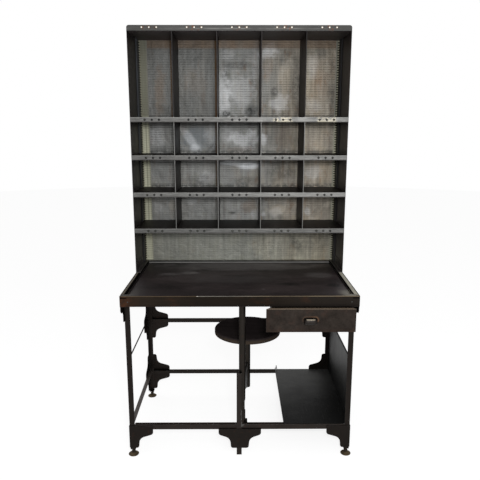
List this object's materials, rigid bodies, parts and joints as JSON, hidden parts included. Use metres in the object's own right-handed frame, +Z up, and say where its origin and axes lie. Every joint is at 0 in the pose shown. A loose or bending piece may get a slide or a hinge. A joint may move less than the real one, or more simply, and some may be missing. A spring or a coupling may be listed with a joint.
{
  "type": "postal sorting desk",
  "caption": "Steel postal sorting desk with a tray top on an angle-iron frame, a pigeonhole hutch, a drawer and a round swing-out stool.",
  "frame": {"origin": "on the floor, under the middle of the overall width and depth, drawer pull and feet included", "axes": "+Z up, +X to the right of someone sitting at the desk, +Y away from them, towards the hutch's back"},
  "size_m": [1.179, 0.8018, 2.212],
  "materials": {
    "frame_steel": "blackened rolled steel, oiled and worn",
    "tray_steel": "near-black steel sheet with worn edges and rust at the corners",
    "shelf_steel": "bare grey steel sheet, worn and oiled",
    "sheet_steel": "dark steel sheet, oiled",
    "back_steel": "grey steel sheet with olive and rust stains",
    "drawer_steel": "brown-black steel sheet with rust stains",
    "foot_steel": "rusty turned steel",
    "pipe_steel": "blackened steel pipe, oiled",
    "seat_steel": "black pressed steel"
  },
  "bodies": {
    "desk": {"desk_top": "tray_steel", "top_rail_left": "frame_steel", "top_rail_right": "frame_steel", "top_rail_rear": "frame_steel", "leg_front_left": "frame_steel", "leg_front_right": "frame_steel", "leg_rear_left": "frame_steel", "leg_rear_right": "frame_steel", "leg_middle": "frame_steel", "lower_rail_front": "frame_steel", "lower_rail_rear": "frame_steel", "lower_rail_left": "frame_steel", "lower_rail_right": "frame_steel", "upper_rail_rear": "frame_steel", "side_tie_left": "frame_steel", "side_tie_right": "frame_steel", "gusset_front_left": "frame_steel", "gusset_front_middle": "frame_steel", "gusset_front_right": "frame_steel", "gusset_rear_lower_left": "frame_steel", "gusset_rear_lower_right": "frame_steel", "gusset_rear_upper_left": "frame_steel", "gusset_rear_upper_right": "frame_steel", "gusset_side_front_left": "frame_steel", "gusset_side_front_right": "frame_steel", "gusset_side_rear_lower_left": "frame_steel", "gusset_side_rear_lower_right": "frame_steel", "gusset_side_rear_upper_left": "frame_steel", "gusset_side_rear_upper_right": "frame_steel", "gusset_side_top_left": "frame_steel", "gusset_side_top_right": "frame_steel", "lower_shelf": "sheet_steel", "side_panel_right": "sheet_steel", "hutch_side_left": "sheet_steel", "hutch_side_right": "sheet_steel", "hutch_top": "shelf_steel", "hutch_back": "back_steel", "shelf_1": "shelf_steel", "shelf_2": "shelf_steel", "shelf_3": "shelf_steel", "shelf_4": "shelf_steel", "partition_1": "sheet_steel", "partition_2": "sheet_steel", "partition_3": "sheet_steel", "partition_4": "sheet_steel", "drawer_runner_left": "sheet_steel", "drawer_runner_right": "sheet_steel", "pivot_socket": "pipe_steel", "pivot_spindle": "pipe_steel", "pivot_cap": "pipe_steel"},
    "drawer": {"drawer_box": "sheet_steel", "drawer_front": "drawer_steel", "drawer_pull": "drawer_steel"},
    "arm": {"stool_arm": "pipe_steel"},
    "seat": {"stool_stem": "pipe_steel", "stool_seat": "seat_steel"},
    "glide_front_left": {"foot_front_left": "foot_steel"},
    "glide_front_right": {"foot_front_right": "foot_steel"},
    "glide_rear_left": {"foot_rear_left": "foot_steel"},
    "glide_rear_right": {"foot_rear_right": "foot_steel"}
  },
  "joints": [
    {"name": "drawer_slide", "type": "slide", "parent": "desk", "child": "drawer", "axis": [0, -1, 0], "range_m": [0, 0.33]},
    {"name": "stool_swing", "type": "hinge", "parent": "desk", "child": "arm", "pos_m": [0.0127, -0.2456, 0.31], "axis": [0, 0, 1], "range_deg": [-170, 97]},
    {"name": "seat_swivel", "type": "hinge", "parent": "arm", "child": "seat", "pos_m": [0.0454, 0.06066, 0.545], "axis": [0, 0, 1], "continuous": true},
    {"name": "foot_front_left_turn", "type": "hinge", "parent": "desk", "child": "glide_front_left", "pos_m": [-0.5625, -0.2591, 0], "axis": [0, 0, 1], "continuous": true},
    {"name": "foot_front_right_turn", "type": "hinge", "parent": "desk", "child": "glide_front_right", "pos_m": [0.5625, -0.2591, 0], "axis": [0, 0, 1], "continuous": true},
    {"name": "foot_rear_left_turn", "type": "hinge", "parent": "desk", "child": "glide_rear_left", "pos_m": [-0.5625, 0.3739, 0], "axis": [0, 0, 1], "continuous": true},
    {"name": "foot_rear_right_turn", "type": "hinge", "parent": "desk", "child": "glide_rear_right", "pos_m": [0.5625, 0.3739, 0], "axis": [0, 0, 1], "continuous": true}
  ]
}
